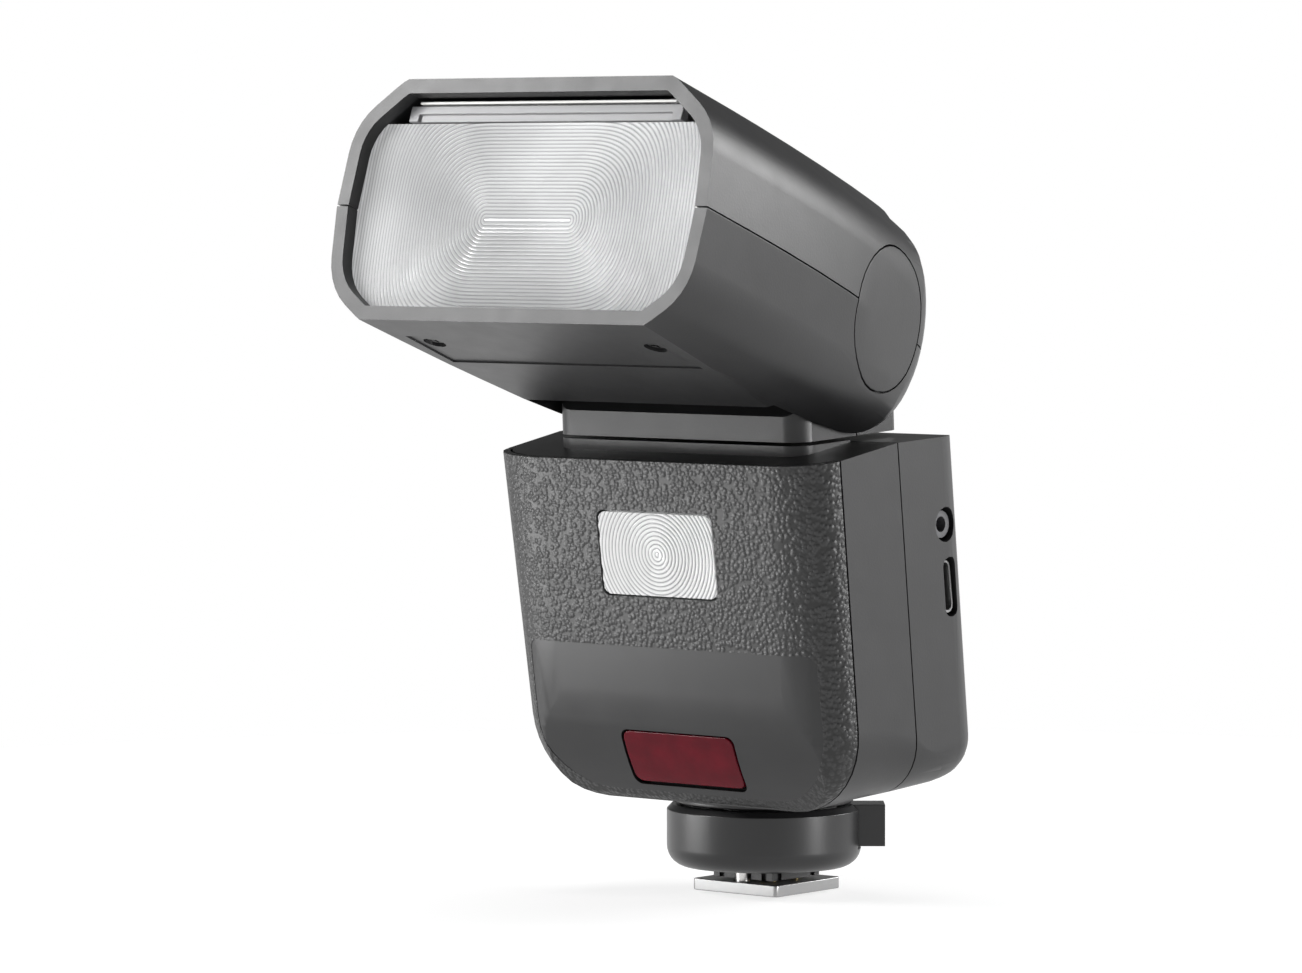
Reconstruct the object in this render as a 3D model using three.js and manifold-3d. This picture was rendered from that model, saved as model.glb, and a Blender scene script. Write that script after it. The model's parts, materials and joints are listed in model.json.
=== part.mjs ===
// A shoe-mounted speedlight flash: a leaning body, a swivelling neck and a tilting zoom head.
// Millimetres, +Z up, the light points towards -Y, +X is the side with the sockets.
// The origin is the centre of the underside of the accessory-shoe foot.
import * as THREE from 'three';
import { mergeVertices } from 'three/addons/utils/BufferGeometryUtils.js';
import Module from 'manifold-3d';

const wasm = await Module();
wasm.setup();

// ---------------------------------------------------------------- driving dimensions
const FIT = 0.3; // gap between neighbouring pieces
const BIG = 200; // reach of a cutting block

// accessory-shoe foot, a standard size
const FOOT_WIDTH = 18.6;
const FOOT_LENGTH = 18;
const FOOT_THICK = 2;
const STEM_SIDE = 13;
const RIB_GAP = 1.1; // the grooves down the stem's sides
const RIB_DEPTH = 0.6;
const RIB_AT = 4.6; // how far the grooves are from the stem's middle
const RIB_TOP = 5;
const COLLAR_RADIUS = 16.8;
const COLLAR_LOW = 4.2;
const COLLAR_TOP = 15;
const COLLAR_ROUND = 3.6; // radius of its lower edge
const COLLAR_INNER = 14.6;
const COLLAR_Y = -0.7;
const LEVER_ANGLE = 39.4; // where the lever rests, from +X towards +Y
const LEVER_SWEEP = 80;
const LEVER_CLEAR = 16; // how far the collar's window runs past the lever at each end, in degrees
const LOCK_PIN_Y = -6.6;

// body, in its own frame: x across, u back, w up, leaning forwards
const LEAN = 8.1;
const FRONT_U = -21.33;
const REAR_U = 18;
const SEAM_U = -0.3;
const BODY_LOW = 18.6;
const BODY_TOP_FRONT = 78.9;
const BODY_TOP_SEAM = 79.45;
const BODY_TOP_REAR = 77.85;
const BODY_HALF = 36.8; // half-width at the seam, at the top
const BODY_TAPER = 0.0243; // narrowing per mm downwards
const FRONT_DRAFT = 0.0009; // narrowing per mm away from the seam, as a share of the width
const REAR_DRAFT = 0.0003;
const BODY_CORNER = 15; // radius of the bottom corners at the front
const REAR_CORNER = 0.5; // their radius at the rear, as a share of that
const EDGE_DEPTH = 6; // how deep the rounded front and rear edges reach
const FRONT_EDGE = 11.5; // how far the rounding reaches across the front
const REAR_EDGE = 4.5;
const BODY_STEPS = 8; // slices along the body's depth, so that the corners can change their radius
const BODY_SPARE = 40; // how far each body extrusion runs past the end that it doesn't shape
const CHIN_RADIUS = 40;
const CHIN_START = 39;
const LEATHER_EDGE = FRONT_U + EDGE_DEPTH;
const LEATHER_THICK = 0.9;
const WALL = 2.4;

// neck, in a frame whose z is the swivel axis
const NECK_SLOPE = 3;
const NECK_AT = [0, -11, 79.15];
const NECK_HALF = 27;
const NECK_FRONT = -14;
const NECK_REAR = 14.3;
const NECK_PLATE_TOP = 4.6;
const NECK_CORNER = 4;
const HUB_RADIUS = 15;
const HUB_HALF = 26.8;
const SPIGOT_RADIUS = 9;

// head, in a frame at the tilt pivot: x across, v back, h up
const PIVOT_AT = [0, -10.8, 99.2];
const HEAD_RISE = 19.4; // how far the head points up at rest
const HEAD_OUTLINE = [[27.5, 22.2], [38.8, 13.6], [39.8, -0.8], [38.7, -14.4], [28.8, -21.1]];
const HEAD_CORNER = 11; // radius of the outline's corners, apart from those on the parting
const HEAD_TOP = 21.2; // at the face
const HEAD_CROWN = 21.8; // over the tilt axis
const HEAD_LOW = -19.8; // at the face
const BELLY = [-16, -20.9]; // the lowest point of the underside, as (v, h)
const FACE_TOP_V = -60.1; // where the raked face starts at the top
const FACE_LOW_V = -56.4;
const DRUM_RADIUS = 19.4;
const HEAD_NARROWING = 0.1206; // share of the width lost between the face and the tilt axis
const HEAD_CURVE = 2.5; // how sharply the narrowing grows towards the rear
const FACE_V = -58;
const FRAME_WIDTH = 2.5;
const HEAD_WALL = 1.6;
const LENS_DEPTH = 2.8;
const LENS_THICK = 2.2;
const LENS_TOP = 14.5;
const CHEEK_INNER = 27.4;
const CAP_RADIUS = 12.2;
const CHEEK_AT = 34.6; // half-width at the tilt axis, where the sides are flat and toed in
const CHEEK_TOE = 0.238; // how much the half-width shrinks per mm backwards
const CAP_INNER = 31.3; // where the caps' inner faces lie
const PLAN_HALF = 45; // half-width of the head's tapered plan, ahead of the face
const PLAN_FRONT = -70;
const PLAN_REAR = 30;
const REAR_ROUND = 7; // radius of the drum's edges, where it meets the toed-in sides
const SHAFT_RADIUS = 4;
const SCREW_RADIUS = 1.7;
const PARTING = -0.4;
const CHAMBER_REAR = -19;

// ---------------------------------------------------------------- materials
function finish(color, roughness, metalness = 0) {
  return new THREE.MeshStandardMaterial({ color, roughness, metalness });
}
const shellFinish = finish(0x2b2b2d, 0.6);
const leatherFinish = finish(0x242426, 0.75);
const satinFinish = finish(0x1c1c1e, 0.35);
const innerFinish = finish(0x3a3a3c, 0.7);
const lensFinish = finish(0xe8ebee, 0.15);
const redFinish = finish(0x5a0f18, 0.1);
const screenFinish = finish(0x101418, 0.05);
const steelFinish = finish(0xc4c4c2, 0.3, 1);
const brassFinish = finish(0xc9a24a, 0.3, 1);
const boardFinish = finish(0x1d4a2c, 0.6);
const rubberFinish = finish(0x202022, 0.85);
const whiteFinish = finish(0xf2f2f0, 0.7);
const mirrorFinish = finish(0xd8d8d8, 0.1, 1);

// ---------------------------------------------------------------- frames
const scene = new THREE.Group();
const degrees = THREE.MathUtils.degToRad;

function frameGroup(position, tilt) {
  const group = new THREE.Group();
  group.position.set(...position);
  group.rotation.x = degrees(tilt);
  group.updateMatrix();
  scene.add(group);
  return group;
}
const foot = frameGroup([0, 0, 0], 0);
const body = frameGroup([0, 0, 0], LEAN);
const neck = frameGroup(NECK_AT, NECK_SLOPE);
const head = frameGroup(PIVOT_AT, -HEAD_RISE);

// A matrix that carries geometry made in one frame into another.
function between(from, to) {
  return to.matrix.clone().invert().multiply(from.matrix);
}

// ---------------------------------------------------------------- solids
function solid(geometry) {
  const bare = geometry.clone();
  bare.deleteAttribute('normal');
  bare.deleteAttribute('uv');
  const merged = mergeVertices(bare, 1e-4);
  return new wasm.Manifold(new wasm.Mesh({
    numProp: 3,
    vertProperties: new Float32Array(merged.attributes.position.array),
    triVerts: new Uint32Array(merged.index.array),
  }));
}

function addMesh(name, shape, material, group) {
  const data = shape.getMesh();
  const geometry = new THREE.BufferGeometry();
  geometry.setAttribute('position', new THREE.BufferAttribute(data.vertProperties, 3));
  geometry.setIndex(new THREE.BufferAttribute(data.triVerts, 1));
  geometry.computeVertexNormals();
  const mesh = new THREE.Mesh(geometry, material);
  mesh.name = name;
  group.add(mesh);
}

function shapeOf(points) {
  return new THREE.Shape(points.map(([a, b]) => new THREE.Vector2(a, b)));
}

function extrusion(points, depth, extra = {}) {
  return new THREE.ExtrudeGeometry(shapeOf(points), { depth, bevelEnabled: false, ...extra });
}

// Points are (y, z); the solid runs along x.
function alongX(points, low, high, extra = {}) {
  const turn = new THREE.Matrix4().set(0, 0, 1, low, 1, 0, 0, 0, 0, 1, 0, 0, 0, 0, 0, 1);
  return extrusion(points, high - low, extra).applyMatrix4(turn);
}

// Points are (x, z); the solid runs along y.
function alongY(points, low, high, extra = {}) {
  const turn = new THREE.Matrix4().set(1, 0, 0, 0, 0, 0, -1, high, 0, 1, 0, 0, 0, 0, 0, 1);
  return extrusion(points, high - low, extra).applyMatrix4(turn);
}

// Points are (x, y); the solid runs along z.
function alongZ(points, low, high) {
  return extrusion(points, high - low).translate(0, 0, low);
}

function box(x, y, z) {
  const geometry = new THREE.BoxGeometry(x[1] - x[0], y[1] - y[0], z[1] - z[0]);
  return geometry.translate((x[0] + x[1]) / 2, (y[0] + y[1]) / 2, (z[0] + z[1]) / 2);
}

function rod(radius, from, to, sides = 16) {
  const start = new THREE.Vector3(...from);
  const span = new THREE.Vector3(...to).sub(start);
  const geometry = new THREE.CylinderGeometry(radius, radius, span.length(), sides);
  const turn = new THREE.Quaternion().setFromUnitVectors(
    new THREE.Vector3(0, 1, 0),
    span.clone().normalize(),
  );
  return geometry.applyQuaternion(turn).translate(...start.addScaledVector(span, 0.5).toArray());
}

// A turned piece about z: the profile is (radius, height) and starts and ends on the axis.
function turned(profile, sides = 40) {
  const points = profile.map(([radius, height]) => new THREE.Vector2(radius, height));
  return new THREE.LatheGeometry(points, sides).rotateX(Math.PI / 2);
}

function ring(outer, inner, low, high, sides = 32) {
  const full = solid(rod(outer, [0, 0, low], [0, 0, high], sides));
  return full.subtract(solid(rod(inner, [0, 0, low - 1], [0, 0, high + 1], sides)));
}

// ---------------------------------------------------------------- outlines
function arc(centre, radius, start, end, steps) {
  const points = [];
  for (let i = 0; i <= steps; i += 1) {
    const angle = degrees(start + ((end - start) * i) / steps);
    points.push([centre[0] + radius * Math.cos(angle), centre[1] + radius * Math.sin(angle)]);
  }
  return points;
}

// Rounds the corners of a convex outline; radii holds one radius for each corner.
function rounded(corners, radii, steps = 4) {
  const points = [];
  corners.forEach((corner, i) => {
    const radius = Array.isArray(radii) ? radii[i] : radii;
    if (radius === 0) {
      points.push(corner);
      return;
    }
    const here = new THREE.Vector2(...corner);
    const before = new THREE.Vector2(...corners[(i + corners.length - 1) % corners.length]);
    const after = new THREE.Vector2(...corners[(i + 1) % corners.length]);
    const inward = before.sub(here).normalize();
    const outward = after.sub(here).normalize();
    const half = Math.acos(inward.dot(outward)) / 2;
    const middle = inward.clone().add(outward).normalize();
    const centre = here.clone().addScaledVector(middle, radius / Math.sin(half));
    const start = here.clone().addScaledVector(inward, radius / Math.tan(half)).sub(centre);
    const end = here.clone().addScaledVector(outward, radius / Math.tan(half)).sub(centre);
    const turn = Math.atan2(start.cross(end), start.dot(end));
    for (let k = 0; k <= steps; k += 1) {
      const spoke = start.clone().rotateAround(new THREE.Vector2(), (turn * k) / steps);
      points.push(spoke.add(centre).toArray());
    }
  });
  return points;
}

// The corners of a rectangle between two bounds each way, anticlockwise.
function rectangle([left, right], [low, high]) {
  return [[left, low], [right, low], [right, high], [left, high]];
}

function plate(halfWidth, low, high, radius, steps = 3) {
  return rounded(rectangle([-halfWidth, halfWidth], [low, high]), radius, steps);
}

// The bounds at one distance either side of a middle.
function around(middle, half) {
  return [middle - half, middle + half];
}

// Moves every side of a convex, anticlockwise outline inwards.
function inset(points, distance) {
  const lines = points.map((point, i) => {
    const next = points[(i + 1) % points.length];
    const along = new THREE.Vector2(next[0] - point[0], next[1] - point[1]).normalize();
    const normal = new THREE.Vector2(-along.y, along.x);
    return { normal, reach: normal.x * point[0] + normal.y * point[1] + distance };
  });
  return points.map((point, i) => {
    const a = lines[(i + lines.length - 1) % lines.length];
    const b = lines[i];
    const cross = a.normal.cross(b.normal);
    return [
      (a.reach * b.normal.y - b.reach * a.normal.y) / cross,
      (a.normal.x * b.reach - b.normal.x * a.reach) / cross,
    ];
  });
}

// ---------------------------------------------------------------- body
// The body's outer form drawn in by `margin`; the top may be drawn in by another amount.
function bodyForm(margin, topMargin = margin) {
  const halfAt = (w) => BODY_HALF - margin - BODY_TAPER * (BODY_TOP_SEAM - w);
  const low = BODY_LOW + margin;
  const high = BODY_TOP_SEAM + 20;
  const front = FRONT_U + margin;
  const rear = REAR_U - margin;
  // One end is shaped, and the bottom corners shrink to `share` of their radius behind the front.
  const form = (start, end, edge, corner, share, draft) => {
    const ends = [[-halfAt(low), low], [halfAt(low), low], [halfAt(high), high], [-halfAt(high), high]];
    const outline = rounded(ends, [corner, corner, 0, 0], 9);
    const geometry = alongY(outline, start + EDGE_DEPTH, end - EDGE_DEPTH, {
      steps: BODY_STEPS,
      bevelEnabled: true,
      bevelThickness: EDGE_DEPTH,
      bevelSize: edge,
      bevelOffset: -edge,
      bevelSegments: 6,
    });
    const place = geometry.attributes.position;
    for (let i = 0; i < place.count; i += 1) {
      const [x, u, w] = [place.getX(i), place.getY(i), place.getZ(i)];
      const back = THREE.MathUtils.smoothstep(u, LEATHER_EDGE, REAR_U - EDGE_DEPTH);
      const inCorner = w < low + corner && Math.abs(x) > halfAt(low) - corner;
      const keep = inCorner ? 1 - (1 - share) * back : 1;
      const edgeX = Math.sign(x) * halfAt(low);
      const nearX = edgeX + (x - edgeX) * keep;
      place.setXYZ(i, nearX * (1 + draft * (u - SEAM_U)), u, low + (w - low) * keep);
    }
    return solid(geometry);
  };
  const corner = BODY_CORNER - margin;
  const frontHalf = form(front, rear + BODY_SPARE, FRONT_EDGE, corner, REAR_CORNER, FRONT_DRAFT);
  const rearHalf = form(front - BODY_SPARE, rear, REAR_EDGE, corner * REAR_CORNER, 1, -REAR_DRAFT);
  const chin = CHIN_RADIUS - margin;
  const chinCentre = [front + chin, CHIN_START];
  const chinEnd = 180 + THREE.MathUtils.radToDeg(Math.asin((CHIN_START - low - 1) / chin));
  const side = [
    ...arc(chinCentre, chin, 180, chinEnd, 9),
    [front + chin - chin * Math.cos(Math.asin((CHIN_START - low - 1) / chin)) + 1, low],
    ...arc([rear - 4, low + 4], 4, 270, 360, 5),
    ...arc([rear - 2, BODY_TOP_REAR - topMargin - 2], 2, 0, 86, 2),
    [SEAM_U, BODY_TOP_SEAM - topMargin],
    [front, BODY_TOP_FRONT - topMargin],
  ];
  return frontHalf.intersect(rearHalf).intersect(solid(alongX(side, -BIG, BIG)));
}

const outerBody = bodyForm(0);
const frontSkin = solid(box([-BIG, BIG], [-BIG, LEATHER_EDGE], [0, BIG]));
const panelHalf = 31;
const panelLow = 20.8;
const panelHigh = 46.7;
const panelRadii = [13, 13, 2, 2];
const ledLow = 55.8;
const ledHigh = 70;
const ledHalf = 12.25;
const afLow = 22.4;
const afHigh = 31.8;
const afHalf = 11.9;

// A rounded block through the front of the body, grown by `grow`.
function frontPort(half, low, high, radius, grow, steps = 4) {
  return solid(alongY(plate(half + grow, low - grow, high + grow, radius, steps), -60, -10));
}

// The hole for the neck's spigot through the body's top, in the body's frame.
function spigotHole(radius) {
  const hole = rod(radius, [0, 0, -9], [0, 0, 9], 24);
  return solid(hole.applyMatrix4(between(neck, body)));
}

const jackAt = [11.8, 63.3];
const usbAt = [12.2, 52.5];
const batteryU = [-8.5, 11];
const batteryW = [29.5, 67.5];
const batteryEnd = 16.5;
const coverHalf = 24.5;
const coverW = [45.6, 74.4];
const dialW = 34;
const dialRadius = 10;
const keyHalf = 5;
const keyHeight = 4.6;
const keyX = 22.5;
const keyRows = [40, 31.8];
const smallW = 25;
const smallX = 18.5;

function socketCuts(grow) {
  const jack = solid(rod(2.7 + grow, [25, ...jackAt], [45, ...jackAt], 16));
  const corners = rectangle(around(usbAt[0], 1.6 + grow), around(usbAt[1], 4.8 + grow));
  return jack.add(solid(alongX(rounded(corners, 1.5, 3), 25, 45)));
}

function batteryBlock(grow) {
  const x = [-BIG, batteryEnd + grow];
  const u = [batteryU[0] - grow, batteryU[1] + grow];
  const w = [batteryW[0] - grow, batteryW[1] + grow];
  return solid(box(x, u, w));
}

function keyOutline(x, w, half, height, grow) {
  return rounded(rectangle(around(x, half + grow), around(w, height / 2 + grow)), 1.2, 2);
}

function keyPlaces() {
  const places = [];
  for (const w of keyRows) {
    for (const side of [-1, 1]) {
      places.push([side * keyX, w]);
    }
  }
  return places;
}

function makeShells() {
  const leatherBed = bodyForm(LEATHER_THICK + FIT, -5);
  const cavityStart = FRONT_U + 3.4;
  const cavity = bodyForm(WALL).intersect(solid(box([-BIG, BIG], [cavityStart, BIG], [0, BIG])));
  let casing = outerBody.subtract(frontSkin.subtract(leatherBed)).subtract(cavity);
  casing = casing.subtract(frontPort(ledHalf, ledLow, ledHigh, 1.5, FIT));
  casing = casing.subtract(frontPort(afHalf, afLow, afHigh, 1.5, FIT));
  casing = casing.subtract(spigotHole(SPIGOT_RADIUS + 0.4));
  casing = casing.subtract(batteryBlock(FIT));
  // The platform under the neck has the neck's outline and rises from the body's top.
  const platformSide = rectangle([NECK_FRONT, -0.6], [-9, -FIT]);
  const platform = solid(alongX(platformSide, -NECK_HALF, NECK_HALF))
    .intersect(solid(alongZ(neckPlan(0), -20, 20)))
    .transform(between(neck, body).toArray())
    .subtract(bodyForm(1))
    .subtract(spigotHole(SPIGOT_RADIUS + 0.4));
  const front = solid(box([-BIG, BIG], [-BIG, SEAM_U - FIT / 2], [0, BIG]));
  const rear = solid(box([-BIG, BIG], [SEAM_U + FIT / 2, BIG], [0, BIG]));
  addMesh('front_shell', casing.add(platform).intersect(front), shellFinish, body);

  let back = casing.intersect(rear).subtract(socketCuts(FIT));
  const coverRecess = alongY(plate(coverHalf + FIT, coverW[0] - FIT, coverW[1] + FIT, 2), REAR_U - 1.6, BIG);
  back = back.subtract(solid(coverRecess));
  back = back.subtract(solid(alongY(plate(21.5, coverW[0] + 2.5, coverW[1] - 3, 1), 10, BIG)));
  back = back.subtract(solid(rod(dialRadius + FIT, [0, 10, dialW], [0, 30, dialW], 28)));
  for (const [x, w] of keyPlaces()) {
    back = back.subtract(solid(alongY(keyOutline(x, w, keyHalf, keyHeight, FIT), 10, BIG)));
  }
  back = back.subtract(solid(alongY(keyOutline(-smallX, smallW, 6, 3, FIT), 10, BIG)));
  back = back.subtract(solid(rod(2.2 + FIT, [smallX, 10, smallW], [smallX, 30, smallW], 16)));
  addMesh('rear_shell', back, shellFinish, body);
}

function makeFrontTrim() {
  let leather = outerBody.subtract(bodyForm(LEATHER_THICK, -5)).intersect(
    solid(box([-BIG, BIG], [-BIG, LEATHER_EDGE - FIT], [0, BIG])),
  );
  leather = leather.subtract(frontPort(panelHalf, panelLow, panelHigh, panelRadii, FIT / 2, 8));
  leather = leather.subtract(frontPort(ledHalf, ledLow, ledHigh, 1.5, FIT));
  addMesh('leather_front', leather, leatherFinish, body);

  let panel = bodyForm(0.15, -5).subtract(bodyForm(LEATHER_THICK, -5));
  panel = panel.intersect(frontPort(panelHalf, panelLow, panelHigh, panelRadii, -FIT / 2, 8));
  panel = panel.subtract(frontPort(afHalf, afLow, afHigh, 1.5, FIT));
  addMesh('lower_front_panel', panel, satinFinish, body);

  const lens = bodyForm(0, -5).subtract(bodyForm(2.2, -5));
  addMesh('led_lens', lens.intersect(frontPort(ledHalf, ledLow, ledHigh, 1.5, 0)), lensFinish, body);
  const window = bodyForm(0.1, -5).subtract(bodyForm(2, -5));
  addMesh('af_window', window.intersect(frontPort(afHalf, afLow, afHigh, 1.5, 0)), redFinish, body);
}

function makeBodyInsides() {
  const ledBoard = solid(box([-16, 16], [-17, -15.6], [53.5, 72])).add(
    solid(box([-6, 6], [-18.4, -16.5], [58.5, 67.5])),
  );
  addMesh('led_module', ledBoard, boardFinish, body);
  const emitterW = (afLow + afHigh) / 2;
  const emitter = solid(rod(2.5, [0, -15.6, emitterW], [0, -12.8, emitterW], 14));
  const dome = solid(rod(1.6, [0, -16.6, emitterW], [0, -15, emitterW], 12));
  addMesh('af_emitter', emitter.add(dome), innerFinish, body);
  addMesh('main_board', solid(box([-31, 31], [-12.4, -11], [30, 70.5])), boardFinish, body);
  addMesh('main_capacitor', solid(rod(7.5, [24.4, -1, 31], [24.4, -1, 71], 20)), innerFinish, body);
  const display = solid(alongY(plate(23, 46.5, 72.6, 1, 1), 12.2, 14.9));
  addMesh('display_module', display, screenFinish, body);
  const cover = alongY(plate(coverHalf, coverW[0], coverW[1], 2), REAR_U - 1.3, REAR_U);
  addMesh('display_cover', solid(cover), screenFinish, body);

  const jackRound = rod(2.35, [30, ...jackAt], [35.2, ...jackAt], 16);
  const jackBase = solid(box([24.5, 31], around(jackAt[0], 2.9), around(jackAt[1], 2.9)));
  const jackBlock = jackBase.add(solid(jackRound));
  const jackBore = solid(rod(1.35, [22, ...jackAt], [40, ...jackAt], 12));
  addMesh('sync_socket', jackBlock.subtract(jackBore), innerFinish, body);

  const corners = rectangle(around(usbAt[0], 1.4), around(usbAt[1], 4.5));
  const shell = solid(alongX(rounded(corners, 1.35, 3), 27, 35));
  const hollow = solid(alongX(rounded(inset(corners, 0.35), 1, 3), 28, 40));
  const tongue = solid(box([27.5, 34], around(usbAt[0], 0.25), around(usbAt[1], 2.9)));
  addMesh('usb_socket', shell.subtract(hollow).add(tongue), steelFinish, body);
}

function makeBattery() {
  const inner = bodyForm(0).intersect(batteryBlock(0));
  const x = [-BIG, -33.5];
  const latchCut = solid(box(x, [-4.8, 7.3], [57.7, 63.3]));
  addMesh('battery_pack', inner.subtract(latchCut), shellFinish, body);
  const latch = solid(box([-BIG, -33.5 - 1], [-4.5, 7], [58, 63]));
  addMesh('battery_latch', bodyForm(0).intersect(latch), satinFinish, body);
}

function makeControls() {
  const dialHub = solid(rod(dialRadius + 1, [0, 13.2, dialW], [0, 14.4, dialW], 28));
  const dialBody = solid(rod(dialRadius, [0, 14, dialW], [0, 20.4, dialW], 28));
  const dialHole = solid(rod(5.4, [0, 10, dialW], [0, 25, dialW], 20));
  addMesh('control_dial', dialHub.add(dialBody).subtract(dialHole), satinFinish, body);
  addMesh('set_button', solid(rod(5, [0, 13, dialW], [0, 19.6, dialW], 20)), rubberFinish, body);
  keyPlaces().forEach(([x, w], i) => {
    const key = alongY(keyOutline(x, w, keyHalf, keyHeight, 0), 13.2, REAR_U + 0.8);
    addMesh(`function_button_${i + 1}`, solid(key), rubberFinish, body);
  });
  const slider = alongY(keyOutline(-smallX - 2.6, smallW, 3, 2.6, 0), 13.2, REAR_U + 1);
  addMesh('power_switch', solid(slider), satinFinish, body);
  const test = rod(2.2, [smallX, 13.2, smallW], [smallX, REAR_U + 0.6, smallW], 16);
  addMesh('test_button', solid(test), redFinish, body);
}

// ---------------------------------------------------------------- foot and lock
const contactPlaces = [[0, 1.8], [-3.4, 3.6], [3.4, 3.6], [-3.4, -2.6], [3.4, -2.6]];

function contactCuts(radius) {
  let cuts = null;
  for (const [x, y] of contactPlaces) {
    const bore = solid(rod(radius, [x, y, -2], [x, y, 8], 10));
    cuts = cuts ? cuts.add(bore) : bore;
  }
  return cuts;
}

function sector(inner, outer, start, end, low, high) {
  const outline = [...arc([0, 0], outer, start, end, 8), ...arc([0, 0], inner, end, start, 8)];
  return solid(alongZ(outline, low, high)).translate(0, COLLAR_Y, 0);
}

function makeFoot() {
  const outline = rounded(rectangle(around(0, FOOT_WIDTH / 2), around(0, FOOT_LENGTH / 2)), 0.8, 2);
  const pinHole = solid(rod(1.6, [0, LOCK_PIN_Y, -1], [0, LOCK_PIN_Y, 8], 14));
  const bottom = solid(alongZ(outline, 0, FOOT_THICK));
  addMesh('foot_plate', bottom.subtract(contactCuts(1.1)).subtract(pinHole), steelFinish, foot);

  const half = STEM_SIDE / 2;
  const stem = solid(box([-half, half], [-half, half], [FOOT_THICK + FIT, 6]));
  const drum = solid(rod(9.6, [0, COLLAR_Y, 5], [0, COLLAR_Y, COLLAR_TOP], 28));
  const slot = solid(box([-1.7, 1.7], [-BIG, LOCK_PIN_Y + 1.7], [0, 14]));
  let block = stem.add(drum).subtract(slot).subtract(contactCuts(1.1));
  for (const along of [-RIB_AT, RIB_AT]) {
    for (const side of [-half, half]) {
      const near = around(side, RIB_DEPTH);
      const across = around(along, RIB_GAP / 2);
      block = block.subtract(solid(box(near, across, [0, RIB_TOP])));
      block = block.subtract(solid(box(across, near, [0, RIB_TOP])));
    }
  }
  addMesh('foot_block', block, satinFinish, foot);

  const outer = COLLAR_RADIUS;
  const floor = COLLAR_LOW + 3;
  const profile = [
    [10, COLLAR_LOW], [11.2, COLLAR_LOW],
    ...arc([outer - COLLAR_ROUND, COLLAR_LOW + COLLAR_ROUND], COLLAR_ROUND, 290, 360, 6),
    [outer, COLLAR_TOP - 0.9], [outer - 0.9, COLLAR_TOP], [COLLAR_INNER, COLLAR_TOP],
    [COLLAR_INNER, floor], [10, floor], [10, COLLAR_LOW],
  ];
  const collar = solid(turned(profile, 56)).translate(0, COLLAR_Y, 0);
  const start = LEVER_ANGLE - LEVER_CLEAR;
  const end = LEVER_ANGLE + LEVER_SWEEP + LEVER_CLEAR;
  const window = sector(13, outer + 5, start, end, floor + 0.2, COLLAR_TOP + 1);
  addMesh('foot_collar', collar.subtract(window), satinFinish, foot);

  const seat = solid(rod(15.4, [0, COLLAR_Y, COLLAR_TOP + FIT], [0, COLLAR_Y, 30], 40));
  const underBody = solid(box([-BIG, BIG], [-BIG, BIG], [-BIG, BODY_LOW - FIT])
    .applyMatrix4(between(body, foot)));
  addMesh('collar_seat', seat.intersect(underBody), shellFinish, foot);

  const band = ring(14.2, 10.1, 7.6, 14.4, 32).translate(0, COLLAR_Y, 0);
  const tab = solid(box([12.5, 20.8], [-3.4, 3.4], [7.8, 15])
    .rotateZ(degrees(LEVER_ANGLE)).translate(0, COLLAR_Y, 0));
  addMesh('lock_lever', band.add(tab), satinFinish, foot);
  const pin = solid(rod(1.25, [0, LOCK_PIN_Y, 0.15], [0, LOCK_PIN_Y, 11.5], 14));
  addMesh('lock_pin', pin, steelFinish, foot);
}

function makeContacts() {
  const names = ['centre_contact', 'contact_pin_1', 'contact_pin_2', 'contact_pin_3', 'contact_pin_4'];
  contactPlaces.forEach(([x, y], i) => {
    addMesh(names[i], solid(rod(0.8, [x, y, -0.4], [x, y, 7], 10)), brassFinish, foot);
  });
}

// ---------------------------------------------------------------- neck
const hubAt = [1.26, 20.0]; // the tilt axis in the neck's frame, as (y, z)

function neckProfile(margin) {
  const top = NECK_PLATE_TOP - margin;
  return [
    [NECK_FRONT + margin, FIT + margin],
    [NECK_REAR - margin, FIT + margin],
    [NECK_REAR - margin, top],
    [hubAt[0] + 10.5 - margin, 9.2],
    [hubAt[0] - 10.5 + margin, 9.2],
    [NECK_FRONT + margin, top],
  ];
}

// The neck's outline seen along the swivel axis.
function neckPlan(margin) {
  const corners = rectangle(around(0, NECK_HALF - margin), [NECK_FRONT + margin, NECK_REAR - margin]);
  return rounded(corners, NECK_CORNER - margin, 6);
}

function neckForm(margin) {
  const hubHalf = HUB_HALF - margin;
  const hub = solid(rod(HUB_RADIUS - margin, [-hubHalf, ...hubAt], [hubHalf, ...hubAt], 36));
  const stand = solid(alongX(neckProfile(margin), -hubHalf - 0.1, hubHalf + 0.1));
  return hub.add(stand).intersect(solid(alongZ(neckPlan(margin), -1, 60)));
}

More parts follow.
